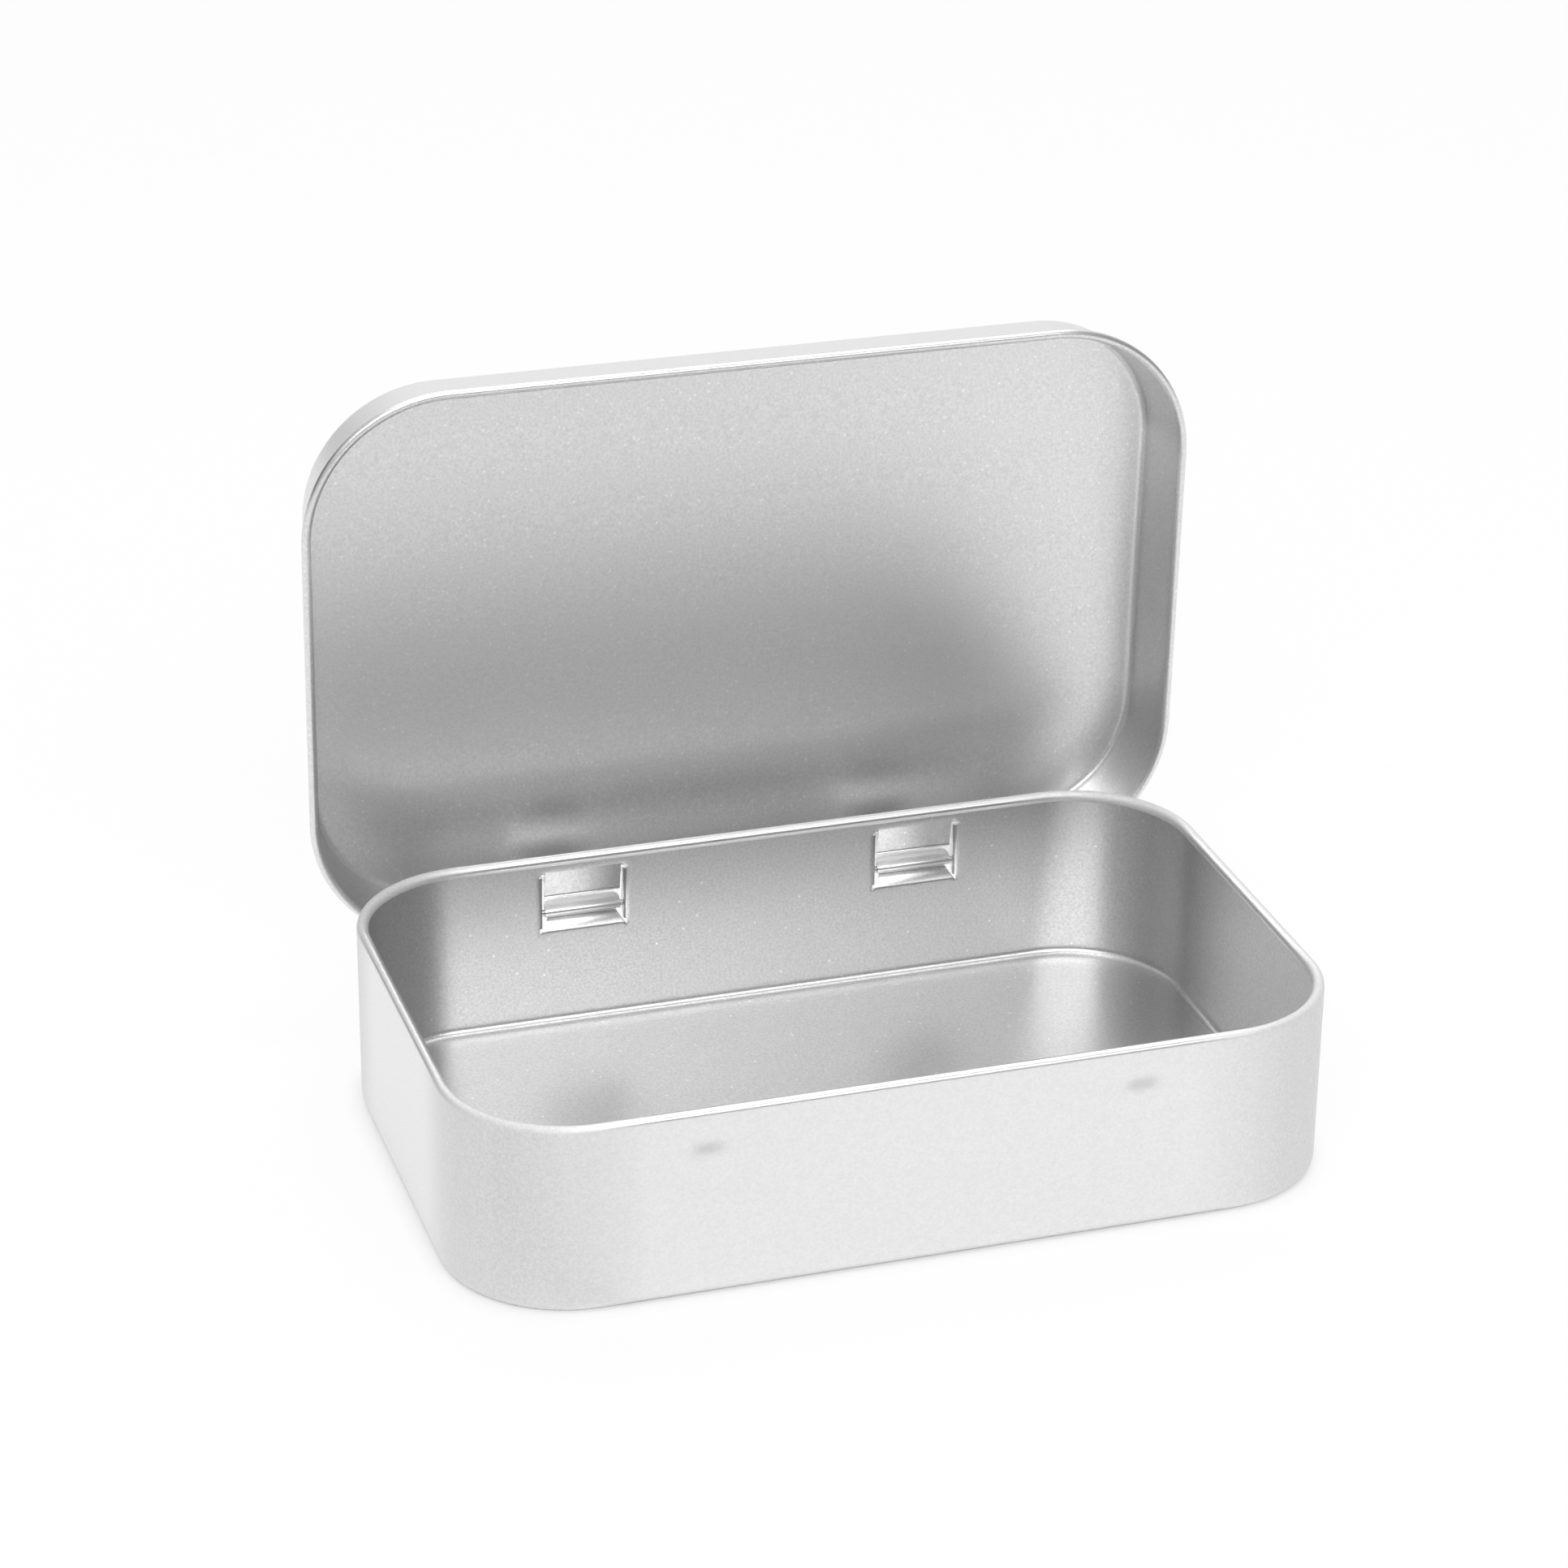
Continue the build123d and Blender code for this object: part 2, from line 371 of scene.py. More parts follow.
@dataclass
class Tray:
    """The tin's body: floor, wall, rolled rim, two snap bumps and two hinge windows."""

    hinge: HingeSizes
    drawn: DrawnSheet
    height: float
    fold_radius: float = 1.1 * MM
    bead_diameter: float = 1.2 * MM
    window_shoulder: float = 0.95 * MM
    window_corner: float = 0.5 * MM
    bump_length: float = 5.8 * MM
    bump_height: float = 4.3 * MM
    bump_rise: float = 0.34 * MM
    bump_spacing: float = 44.2 * MM
    bump_drop: float = 5.3 * MM
    bump_field: float = 4.4 * MM
    bump_cuts: int = 30
    flap_side_gap: float = 0.3 * MM
    flap_reach: float = 0.56 * MM
    flap_edge_over_pin: float = 1.86 * MM
    flap_bend: float = 0.35 * MM
    flap_corner: float = 0.3 * MM
    flap_curl: float = 0.45 * MM
    flap_curl_turn: float = 42.0
    lip_bend: float = 0.4 * MM
    lip_lean: float = 30.0
    lip_run: float = 0.9 * MM
    lip_hook: float = 0.9 * MM
    lip_hook_lean: float = 65.0
    lip_inset: float = 0.15 * MM
    lip_taper: float = 0.9 * MM
    lip_corner: float = 0.25 * MM
    ear_bend: float = 0.26 * MM
    ear_rise: float = 0.6 * MM
    ear_drop: float = 0.62 * MM
    bend_steps: int = 5
    piece: bpy.types.Object = field(init=False)

    @property
    def wall_out(self) -> float:
        """Middle of the wall's sheet, from its outer face."""
        return -self.drawn.sheet / 2

    @property
    def window_top(self) -> float:
        """Height of the fold line above the flap."""
        return self.height - self.bead_diameter - self.window_shoulder

    @property
    def window_bottom(self) -> float:
        """Height of the fold line under the lip."""
        return self.hinge.axis.z - self.hinge.window_depth

    @property
    def wall_y(self) -> float:
        """Middle of the back wall's sheet."""
        return self.drawn.width / 2 + self.wall_out

    @property
    def hole_half(self) -> float:
        """Half the width of the hole in the flat wall, out to where the ears start to bend."""
        return self.hinge.window_width / 2 + self.drawn.sheet / 2 + self.ear_bend

    @property
    def flap_half(self) -> float:
        """Half the width of a flap."""
        return self.hinge.window_width / 2 - self.flap_side_gap

    @property
    def lip_rise(self) -> float:
        """Height of a lip, from its fold line to its edge."""
        lean, tip = math.radians(self.lip_lean), math.radians(self.lip_hook_lean)
        bend = self.lip_bend * math.sin(lean) + self.lip_hook * (math.sin(tip) - math.sin(lean))
        return bend + self.lip_run * math.cos(lean)

    def section(self) -> list[Point]:
        """Draws the tray's section.

        Returns:
            The middle line of its sheet, from the floor's edge up to the end of the curl.
        """
        out, sheet, hold = self.wall_out, self.drawn.sheet, self.drawn.edge_hold
        bead = self.bead_diameter / 2
        low, high = self.window_bottom, self.window_top
        levels = [self.fold_radius + hold, low - hold, low, low + self.ear_rise, high - self.ear_drop,
                  high - self.window_corner, high, high + hold, self.height - bead - hold]
        fold = arc((-self.fold_radius, self.fold_radius), self.fold_radius - sheet / 2, -90, 90,
                   self.drawn.fold_steps)
        curl = arc((-bead, self.height - bead), bead - sheet / 2, 0, self.drawn.curl_sweep,
                   self.drawn.curl_steps)
        return fold + [(out, level) for level in levels] + curl

    def build(self) -> bpy.types.Object:
        """Models the tray.

        Returns:
            The finished piece.
        """
        stops = {Side.BACK: self._window_stops(), Side.FRONT: self._bump_stops()}
        self.piece = self.drawn.carry_round(self.section(), stops)
        self.drawn.close_panel(self.piece, self.drawn.sheet / 2)
        for side in (-1, 1):
            self._press_bump(side * self.bump_spacing / 2)
        for middle in self.hinge.middles():
            self._press_window(middle)
        self.drawn.finish_sheet(self.piece)
        for middle in self.hinge.middles():
            self._pierce_ears(middle)
        return self.piece

    def _window_stops(self) -> list[float]:
        """Lines across the back wall beside and inside the windows."""
        half = self.hole_half
        return self.hinge.beside((half + self.drawn.edge_hold, half, half - self.lip_inset,
                                  half - self.window_corner, self.flap_half))

    def _bump_stops(self) -> list[float]:
        """Lines across the front wall beside the fields that the bumps are pressed in."""
        return [a * self.bump_spacing / 2 + b * self.bump_field for a in (-1, 1) for b in (-1, 1)]

    def _press_bump(self, middle: float) -> None:
        """Presses one snap bump out of the front wall as a soft dome.

        Args:
            middle: Its place along X.
        """
        front = -self.wall_y
        level = self.height - self.bump_drop
        pick(self.piece, Part.FACES, lambda at: near(at.y, front) and abs(at.x - middle) < self.bump_field
             and self.window_bottom + self.ear_rise < at.z < self.window_top - self.ear_drop)
        bpy.ops.mesh.subdivide(number_cuts=self.bump_cuts)
        core = (self.bump_length - self.bump_height) / 2
        cell = (self.window_top - self.window_bottom) / self.bump_cuts
        pick(self.piece, Part.VERTS, lambda at: near(at.y, front) and abs(at.x - middle) < core
             and abs(at.z - level) < cell)
        bpy.ops.transform.translate(value=(0, -self.bump_rise, 0), use_proportional_edit=True,
                                    proportional_edit_falloff="SMOOTH",
                                    proportional_size=self.bump_height / 2,
                                    use_proportional_connected=True)

    def _on_back_wall(self, at: Vector, middle: float, half: float, low: float,
                      high: float) -> bool:
        """Whether a place lies on the back wall's sheet, within a half width and two heights."""
        beside = near(at.y, self.wall_y) and abs(at.x - middle) < half + WELD
        return beside and low - WELD < at.z < high + WELD

    def _press_window(self, middle: float) -> None:
        """Opens one hinge window and presses out its flap, its lip and its ears.

        Args:
            middle: Its place along X.
        """
        self._open_hole(middle)
        self._press_flap(middle)
        self._press_lip(middle)
        for side in (-1, 1):
            self._press_ear(middle, side)

    def _open_hole(self, middle: float) -> None:
        """Takes the sheet out of one window and leaves its upper corners sloped.

        Args:
            middle: The window's place along X.
        """
        low, high, corner = self.window_bottom, self.window_top, self.window_corner
        inner = self.hole_half - corner
        pick(self.piece, Part.FACES, lambda at: self._on_back_wall(at, middle, self.hole_half, low, high)
             and (abs(at.x - middle) < inner or at.z < high - corner))
        bpy.ops.mesh.delete(type="FACE")
        for side in (-1, 1):
            pick(self.piece, Part.FACES, lambda at: inner < side * (at.x - middle) < self.hole_half
                 and near(at.y, self.wall_y) and high - corner < at.z < high)
            bpy.ops.mesh.bisect(plane_co=(middle + side * inner, 0, high), clear_outer=True, threshold=WELD,
                                plane_no=Vector((-side, 0, -1)).normalized())

    def _press_flap(self, middle: float) -> None:
        """Bends the flap out above the pin and rounds its free corners.

        Args:
            middle: The window's place along X.
        """
        top, edge = self.window_top, self.hinge.axis.z + self.flap_edge_over_pin
        lean, curl = math.atan2(self.flap_reach, top - edge), math.radians(self.flap_curl_turn)
        down = Vector((0, math.sin(lean), -math.cos(lean)))
        inner = Vector((0, -math.cos(lean), -math.sin(lean)))
        pick(self.piece, Part.EDGES, lambda at: self._on_back_wall(at, middle, self.flap_half, top, top),
             open_only=True)
        sweep_round(self.bend_steps, lean, (middle, self.wall_y + self.flap_bend, top), (1, 0, 0))
        straight = (top - edge) / math.cos(lean) - self.flap_curl * math.sin(curl)
        extrude(down * straight)
        fold = Vector((middle, self.wall_y, top)) + down * straight
        sweep_round(self.bend_steps, -curl, fold + inner * self.flap_curl, (1, 0, 0))
        low = min(vert.co.z for vert in bmesh.from_edit_mesh(self.piece.data).verts if vert.select)

        def corner(at: Vector) -> bool:
            """Whether a place is one of the flap's two free corners."""
            return near(at.z, low) and at.y > self.wall_y and near(abs(at.x - middle), self.flap_half)

        self.drawn.round_corners(self.piece, corner, self.flap_corner)

    def _press_lip(self, middle: float) -> None:
        """Bends the lip out under the pin, over the window's whole width, and slopes its two ends.

        Args:
            middle: The window's place along X.
        """
        low = self.window_bottom
        lean, tip_lean = math.radians(self.lip_lean), math.radians(self.lip_hook_lean)
        upward = Vector((0, math.sin(lean), math.cos(lean)))
        outward = Vector((0, math.cos(lean), -math.sin(lean)))
        centre = Vector((middle, self.wall_y + self.lip_bend, low))
        base = self.hole_half - self.lip_inset
        pick(self.piece, Part.EDGES, lambda at: self._on_back_wall(at, middle, base, low, low),
             open_only=True)
        sweep_round(self.bend_steps, lean, centre, (-1, 0, 0))
        extrude(upward * self.lip_run)
        end = centre - outward * self.lip_bend + upward * self.lip_run
        sweep_round(self.bend_steps, tip_lean - lean, end + outward * self.lip_hook, (-1, 0, 0))
        reach = self.lip_run + self.lip_hook
        for side in (-1, 1):
            corner = Vector((middle + side * base, 0, low))
            normal = Vector((side * self.lip_rise, 0, self.lip_taper)).normalized()
            pick(self.piece, Part.FACES, lambda at: low < at.z < low + self.lip_rise
                 and self.wall_y + PROUD < at.y < self.wall_y + reach
                 and abs(at.x - middle) < self.hole_half)
            bpy.ops.mesh.bisect(plane_co=corner, plane_no=normal, clear_outer=True, threshold=WELD)
        tip, half = low + self.lip_rise, base - self.lip_taper
        self.drawn.round_corners(self.piece, lambda at: near(at.z, tip) and near(abs(at.x - middle), half),
                                 self.lip_corner)

    def _press_ear(self, middle: float, side: int) -> None:
        """Bends one ear out beside the pin and trims it round the pin.

        Args:
            middle: The window's place along X.
            side: -1 for the left ear, 1 for the right one.
        """
        start = middle + side * self.hole_half
        low, high = self.window_bottom + self.ear_rise, self.window_top - self.ear_drop
        pick(self.piece, Part.EDGES, lambda at: near(at.x, start)
             and self._on_back_wall(at, middle, self.hole_half, low, high), open_only=True)
        centre = (start, self.wall_y + self.ear_bend, 0)
        sweep_round(self.bend_steps, math.pi / 2, centre, (0, 0, -side))
        radius = self.hinge.pin_radius + self.hinge.ear_wall
        reach = self.hinge.axis.y + radius - self.wall_y - self.ear_bend
        extrude(Vector((0, reach, 0)))
        self._trim_ear(start, side)

    def _trim_ear(self, start: float, side: int) -> None:
        """Cuts an ear's corners off along straight lines that clear the pin.

        Args:
            start: Where the ear's bend starts along X.
            side: Which ear it is.
        """
        radius = self.hinge.pin_radius + self.hinge.ear_wall
        axis = self.hinge.axis
        ends = ((1, self.window_top - self.ear_drop), (-1, self.window_bottom + self.ear_rise))
        for end, level in ends:
            corner = Vector((start, self.wall_y + self.ear_bend, level))
            away = Vector((0, axis.y - corner.y, axis.z - corner.z))
            slope = math.atan2(away.z, away.y) + end * math.asin(radius / away.length)
            normal = Vector((0, -math.sin(slope), math.cos(slope))) * end
            pick(self.piece, Part.FACES, lambda at: at.y > self.wall_y + WELD
                 and self.window_bottom + self.ear_rise < at.z < self.window_top
                 and -WELD < side * (start - at.x) < self.ear_bend + WELD)
            bpy.ops.mesh.bisect(plane_co=corner, plane_no=normal, clear_outer=True, threshold=WELD)

    def _pierce_ears(self, middle: float) -> None:
        """Pierces the holes that the pin sits in.

        Args:
            middle: The window's place along X.
        """
        radius = self.hinge.pin_radius + self.hinge.seat_gap
        length = 2 * self.hole_half + self.drawn.sheet
        bpy.ops.object.select_all(action="DESELECT")
        bpy.ops.mesh.primitive_cylinder_add(vertices=self.hinge.hole_sides, radius=radius, depth=length,
                                            location=(middle, self.hinge.axis.y, self.hinge.axis.z),
                                            rotation=(0, math.pi / 2, 0))
        punch = bpy.context.object
        bpy.ops.object.select_all(action="DESELECT")
        bpy.context.view_layer.objects.active = self.piece
        self.piece.select_set(True)
        hole = self.piece.modifiers.new("pin hole", "BOOLEAN")
        hole.object = punch
        hole.operation = "DIFFERENCE"
        hole.solver = "EXACT"
        bpy.ops.object.modifier_apply(modifier=hole.name)
        bpy.data.objects.remove(punch)


@dataclass
class Lid:
    """The lid: plate, flared skirt, rolled rim and two hinge tabs, modelled shut and then swung open."""

    hinge: HingeSizes
    drawn: DrawnSheet
    tray_height: float
    open_angle: float = 88.0
    depth: float = 7.94 * MM
    fold_radius: float = 0.94 * MM
    bead_diameter: float = 0.95 * MM
    rim_reach: float = 2.1 * MM
    side_gap: float = 0.33 * MM
    top_gap: float = 0.08 * MM
    tab_side_gap: float = 0.3 * MM
    tab_wrap_end: float = -150.0
    tab_end_length: float = 1.2 * MM
    tab_corner: float = 0.8 * MM
    pin_overhang: float = 0.25 * MM
    notch_side_gap: float = 0.27 * MM
    notch_ear_gap: float = 0.25 * MM
    bend_steps: int = 14
    piece: bpy.types.Object = field(init=False)

    @property
    def top(self) -> float:
        """Height of the shut lid's outer face."""
        return self.tray_height + self.top_gap + self.drawn.sheet

    @property
    def fold_centre(self) -> Point:
        """Centre of the fold between plate and skirt, as (out, up)."""
        return self.side_gap + self.drawn.sheet - self.fold_radius, self.top - self.fold_radius

    @property
    def bead_centre(self) -> Point:
        """Centre of the rolled rim, as (out, up)."""
        radius = self.bead_diameter / 2
        return self.rim_reach - radius, self.top - self.depth + radius

    @property
    def skirt_tilt(self) -> float:
        """Slope of the skirt's outward face, which runs outside the fold and inside the rim.

        Returns:
            Its angle over the horizontal, in radians.
        """
        fold, bead = Vector(self.fold_centre), Vector(self.bead_centre)
        run = bead - fold
        radii = self.fold_radius + self.bead_diameter / 2 - self.drawn.sheet
        return math.atan2(run.y, run.x) + math.acos(radii / run.length)

    @property
    def notch_top(self) -> float:
        """Height of the notches' upper edge, on the shut lid."""
        return self.hinge.axis.z + self.hinge.pin_radius + self.hinge.ear_wall + self.notch_ear_gap

    @property
    def notch_half(self) -> float:
        """Half the width of a notch."""
        half = self.hinge.window_width / 2 + self.drawn.sheet
        return half + self.pin_overhang + self.notch_side_gap

    @property
    def tab_half(self) -> float:
        """Half the width of a hinge tab."""
        return self.hinge.window_width / 2 - self.tab_side_gap

    def skirt_out(self, up: float) -> float:
        """Finds the middle of the skirt's sheet.

        Args:
            up: The height that it is asked for.

        Returns:
            Its distance out from the tray's outer face.
        """
        centre = self.fold_centre
        line = self.fold_radius - self.drawn.sheet / 2
        return centre[0] + (line - (up - centre[1]) * math.sin(self.skirt_tilt)) / math.cos(self.skirt_tilt)

    def section(self) -> list[Point]:
        """Draws the lid's section.

        Returns:
            The middle line of its sheet, from the plate's edge down to the end of the curl.
        """
        sheet, hold = self.drawn.sheet, self.drawn.edge_hold
        tilt = math.degrees(self.skirt_tilt)
        fold = arc(self.fold_centre, self.fold_radius - sheet / 2, 90, tilt - 90, self.drawn.fold_steps)
        curl = arc(self.bead_centre, self.bead_diameter / 2 - sheet / 2, tilt + 180, self.drawn.curl_sweep,
                   self.drawn.curl_steps)
        levels = [fold[-1][1] - hold, self.notch_top]
        return fold + [(self.skirt_out(level), level) for level in levels] + curl

    def build(self) -> bpy.types.Object:
        """Models the lid.

        Returns:
            The finished piece, open as the frame has it.
        """
        self.piece = self.drawn.carry_round(self.section(), {Side.BACK: self._notch_stops()})
        self.drawn.close_panel(self.piece, self.top - self.drawn.sheet / 2)
        for middle in self.hinge.middles():
            self._cut_notch(middle)
            self._bend_tab(middle)
        bpy.ops.mesh.select_all(action="SELECT")
        bpy.ops.transform.rotate(value=math.radians(self.open_angle), orient_axis="X", orient_type="GLOBAL",
                                 center_override=self.hinge.axis)
        self.drawn.finish_sheet(self.piece)
        return self.piece

    def _notch_stops(self) -> list[float]:
        """Lines across the back skirt at the notches' ends and the tabs' sides."""
        return self.hinge.beside((self.notch_half, self.tab_half))

    def _cut_notch(self, middle: float) -> None:
        """Cuts the skirt and the rolled rim away where a hinge stands.

        Args:
            middle: Its place along X.
        """
        back = self.drawn.width / 2
        pick(self.piece, Part.FACES, lambda at: at.y > back and at.z < self.notch_top
             and abs(at.x - middle) < self.notch_half)
        bpy.ops.mesh.delete(type="FACE")

    def _bend_tab(self, middle: float) -> None:
        """Draws a hinge tab down from its notch, round the pin and into its free end.

        Args:
            middle: Its place along X.
        """
        sheet, axis = self.drawn.sheet, self.hinge.axis
        bend_radius = self.hinge.pin_radius + self.hinge.running_gap + sheet / 2
        root = Vector((0, self.drawn.width / 2 + self.skirt_out(self.notch_top), self.notch_top))
        to_root = root - Vector((0, axis.y, axis.z))
        bend_start = math.atan2(to_root.z, to_root.y) - math.acos(bend_radius / to_root.length)
        sweep = bend_start - math.radians(self.tab_wrap_end)
        touch = self._round_pin(bend_radius, bend_start)
        pick(self.piece, Part.EDGES, lambda at: near(at.z, self.notch_top) and near(at.y, root.y)
             and abs(at.x - middle) < self.tab_half + WELD, open_only=True)
        extrude(touch - root)
        sweep_round(self.bend_steps, sweep, (middle, axis.y, axis.z), (-1, 0, 0))
        heading = math.radians(self.tab_wrap_end - 90)
        along = Vector((0, math.cos(heading), math.sin(heading)))
        extrude(along * (self.tab_end_length - self.tab_corner))
        extrude(along * self.tab_corner)
        leaves = self._round_pin(bend_radius, math.radians(self.tab_wrap_end))
        free = leaves + along * self.tab_end_length

        def corner(at: Vector) -> bool:
            """Whether a place is one of the tab's two free corners."""
            return near(at.y, free.y) and near(at.z, free.z) and near(abs(at.x - middle), self.tab_half)

        self.drawn.round_corners(self.piece, corner, self.tab_corner)

    def _round_pin(self, radius: float, angle: float) -> Vector:
        """The place on a circle round the pins' axis, at an angle in radians from straight back."""
        axis = self.hinge.axis
        return Vector((0, axis.y + radius * math.cos(angle), axis.z + radius * math.sin(angle)))


@dataclass(frozen=True)
class SatinTinplate:
    """Electrolytic tinplate with a stone finish: bright tin over steel rolled with ground rolls.

    To the eye it is a pale neutral metal that blurs what it reflects. The inner colours are set darker than
    the outer ones; on the tray this darker colour is painted shade for the tray's hollow. The inner side
    shows a fine even grain, with a few bright points: small bumps tilt them, and their white colour is a
    painted glint.
    The outer side is whiter and plainer, and blurs more where the sheet was drawn round an upright corner.
    """

    name: str
    colour: str
    shade: str
    roughness: float
    point_share: float
    # Colour of the specks, a painted glint.
    painted_glint_colour: str = "#FFFFFF"
    roughness_swing: float = 0.04
    grain: float = 0.3 * MM
    grain_depth: float = 0.004 * MM
    grain_detail: float = 3.0
    grain_falloff: float = 0.7
    grain_low: float = 0.33
    grain_high: float = 0.67
    point_spacing: float = 0.5 * MM
    point_radius: float = 0.2 * MM
    point_depth: float = 0.008 * MM
    corner_roughness: float = 0.0
    corner_start: Point = (0.0, 0.0)
    corner_radius: float = 1.0 * MM

    def make(self) -> bpy.types.Material:
        """Builds the material.

        Returns:
            The finished material.
        """
        material, tree = new_material(self.name)
        place = add_node(tree, "ShaderNodeTexCoord").outputs["Object"]
        noise = add_node(tree, "ShaderNodeTexNoise", values={"Scale": 1 / self.grain,
                         "Detail": self.grain_detail, "Roughness": self.grain_falloff},
                         links={"Vector": place}).outputs["Fac"]
        grain = add_node(tree, "ShaderNodeMapRange", {"clamp": True},
                         {"From Min": self.grain_low, "From Max": self.grain_high},
                         {"Value": noise}).outputs["Result"]
        points = add_node(tree, "ShaderNodeTexVoronoi", {"feature": "F1"},
                          {"Scale": 1 / self.point_spacing}, {"Vector": place})
        cone = add_node(tree, "ShaderNodeMapRange", {"clamp": True},
                        {"From Min": 0.0, "From Max": self.point_radius / self.point_spacing, "To Min": 1.0,
                         "To Max": 0.0}, {"Value": points.outputs["Distance"]}).outputs["Result"]
        chosen = add_node(tree, "ShaderNodeSeparateColor", links={"Color": points.outputs["Color"]})
        rare = add_node(tree, "ShaderNodeMath", {"operation": "GREATER_THAN"}, {1: 1 - self.point_share},
                        {0: chosen.outputs["Red"]}).outputs["Value"]
        specks_bump_and_painted_glint = add_node(tree, "ShaderNodeMath", {"operation": "MULTIPLY"},
                          links={0: cone, 1: rare}).outputs["Value"]
        fine = add_node(tree, "ShaderNodeBump", values={"Strength": 1.0, "Distance": self.grain_depth},
                        links={"Height": noise}).outputs["Normal"]
        normal = add_node(tree, "ShaderNodeBump", values={"Strength": 1.0, "Distance": self.point_depth},
                          links={"Height": specks_bump_and_painted_glint, "Normal": fine}).outputs["Normal"]
        colour = add_node(tree, "ShaderNodeMix", {"data_type": "RGBA"},
                          {"A": linear(self.shade), "B": linear(self.colour)}, {"Factor": grain})
        # The specks' small bump tilts are real; their white colour mixed in here is a painted glint.
        colour = add_node(tree, "ShaderNodeMix", {"data_type": "RGBA"}, {"B": linear(self.painted_glint_colour)},
                          {"Factor": specks_bump_and_painted_glint, "A": colour.outputs["Result"]})
        rough = add_node(tree, "ShaderNodeMapRange", {"clamp": True},
                         {"To Min": self.roughness + self.roughness_swing,
                          "To Max": self.roughness - self.roughness_swing}, {"Value": grain})
        roughness = rough.outputs["Result"]
        if self.corner_roughness:
            stretch = self._stretch(tree, place)
            roughness = add_node(tree, "ShaderNodeMath", {"operation": "ADD"},
                                 links={0: roughness, 1: stretch}).outputs["Value"]
        shader = add_node(tree, "ShaderNodeBsdfPrincipled", values={"Metallic": 1.0},
                          links={"Base Color": colour.outputs["Result"], "Roughness": roughness,
                                 "Normal": normal})
        add_node(tree, "ShaderNodeOutputMaterial", links={"Surface": shader.outputs["BSDF"]})
        return material

    def _stretch(self, tree: bpy.types.NodeTree, place: bpy.types.NodeSocket) -> bpy.types.NodeSocket:
        """Adds the roughness that the sheet gains where it is drawn round an upright corner.

        Args:
            tree: The material's node tree.
            place: Object coordinates.

        Returns:
            The added roughness, highest half way round each corner, where both shares are a half.
        """
        parts = add_node(tree, "ShaderNodeSeparateXYZ", links={"Vector": place}).outputs
        shares = []
        for axis, start in zip("XY", self.corner_start):
            size = add_node(tree, "ShaderNodeMath", {"operation": "ABSOLUTE"}, links={0: parts[axis]})
            shares.append(add_node(tree, "ShaderNodeMapRange", {"clamp": True},
                                   {"From Min": start, "From Max": start + self.corner_radius},
                                   {"Value": size.outputs["Value"]}).outputs["Result"])
        both = add_node(tree, "ShaderNodeMath", {"operation": "MULTIPLY"},
                        links={0: shares[0], 1: shares[1]})
        return add_node(tree, "ShaderNodeMath", {"operation": "MULTIPLY"}, {1: 2 * self.corner_roughness},
                        {0: both.outputs["Value"]}).outputs["Value"]


@dataclass(frozen=True)
class DrawnWire:
    """Bright drawn steel wire.

    To the eye it is a darker metal than the sheet and blurs a little less, with fine lengthwise lines.
    """

    name: str = "bright_drawn_wire"
    colour: str = "#D2D2D2"
    shade: str = "#B4B4B4"
    roughness: float = 0.26
    line_width: float = 0.05 * MM
    line_length: float = 2.0 * MM
    line_depth: float = 0.002 * MM
    line_detail: float = 2.0

    def make(self) -> bpy.types.Material:
        """Builds the material.

        Returns:
            The finished material.
        """
        material, tree = new_material(self.name)
        place = add_node(tree, "ShaderNodeTexCoord").outputs["Object"]
        stretch = (self.line_width / self.line_length, 1, 1)
        drawn = add_node(tree, "ShaderNodeMapping", values={"Scale": stretch},
                         links={"Vector": place}).outputs["Vector"]
        lines = add_node(tree, "ShaderNodeTexNoise", values={"Scale": 1 / self.line_width,
                         "Detail": self.line_detail}, links={"Vector": drawn}).outputs["Fac"]
        normal = add_node(tree, "ShaderNodeBump", values={"Strength": 1.0, "Distance": self.line_depth},
                          links={"Height": lines}).outputs["Normal"]
        colour = add_node(tree, "ShaderNodeMix", {"data_type": "RGBA"},
                          {"A": linear(self.shade), "B": linear(self.colour)}, {"Factor": lines})
        shader = add_node(tree, "ShaderNodeBsdfPrincipled",
                          values={"Metallic": 1.0, "Roughness": self.roughness},
                          links={"Base Color": colour.outputs["Result"], "Normal": normal})
        add_node(tree, "ShaderNodeOutputMaterial", links={"Surface": shader.outputs["BSDF"]})
        return material


@dataclass(frozen=True)
class Softbox:
    """One soft studio lamp, placed by direction from the tin."""

    name: str
    azimuth: float
    elevation: float
    distance: float
    width: float
    height: float
    radiance: float

    def hang(self, target: Vector) -> None:
        """Adds the lamp.

        Args:
            target: The point that it is aimed at.
        """
        data = bpy.data.lights.new(self.name, "AREA")
        data.shape = "RECTANGLE"
        data.size = self.width
        data.size_y = self.height
        data.energy = self.radiance * math.pi * self.width * self.height
        lamp = bpy.data.objects.new(self.name, data)
        lamp.visible_camera = False
        bpy.context.scene.collection.objects.link(lamp)
        away = direction(self.azimuth, self.elevation)
        lamp.location = target + away * self.distance
        lamp.rotation_euler = away.to_track_quat("Z", "Y").to_euler()


@dataclass(frozen=True)
class RoomTone:
    """A soft patch of the room that is brighter or darker than the rest.

    The edge is the cosine of the angle at which the patch fades out.
    """

    azimuth: float
    elevation: float
    edge: float
    change: float


def direction(azimuth: float, elevation: float) -> Vector:
    """Direction from the tin towards a place round it.

    Args:
        azimuth: Degrees round from the front, positive to the right.
        elevation: Degrees above the horizon.

    Returns:
        A vector of length 1.
    """
    turn, rise = math.radians(azimuth), math.radians(elevation)
    return Vector((math.sin(turn) * math.cos(rise), -math.cos(turn) * math.cos(rise), math.sin(rise)))


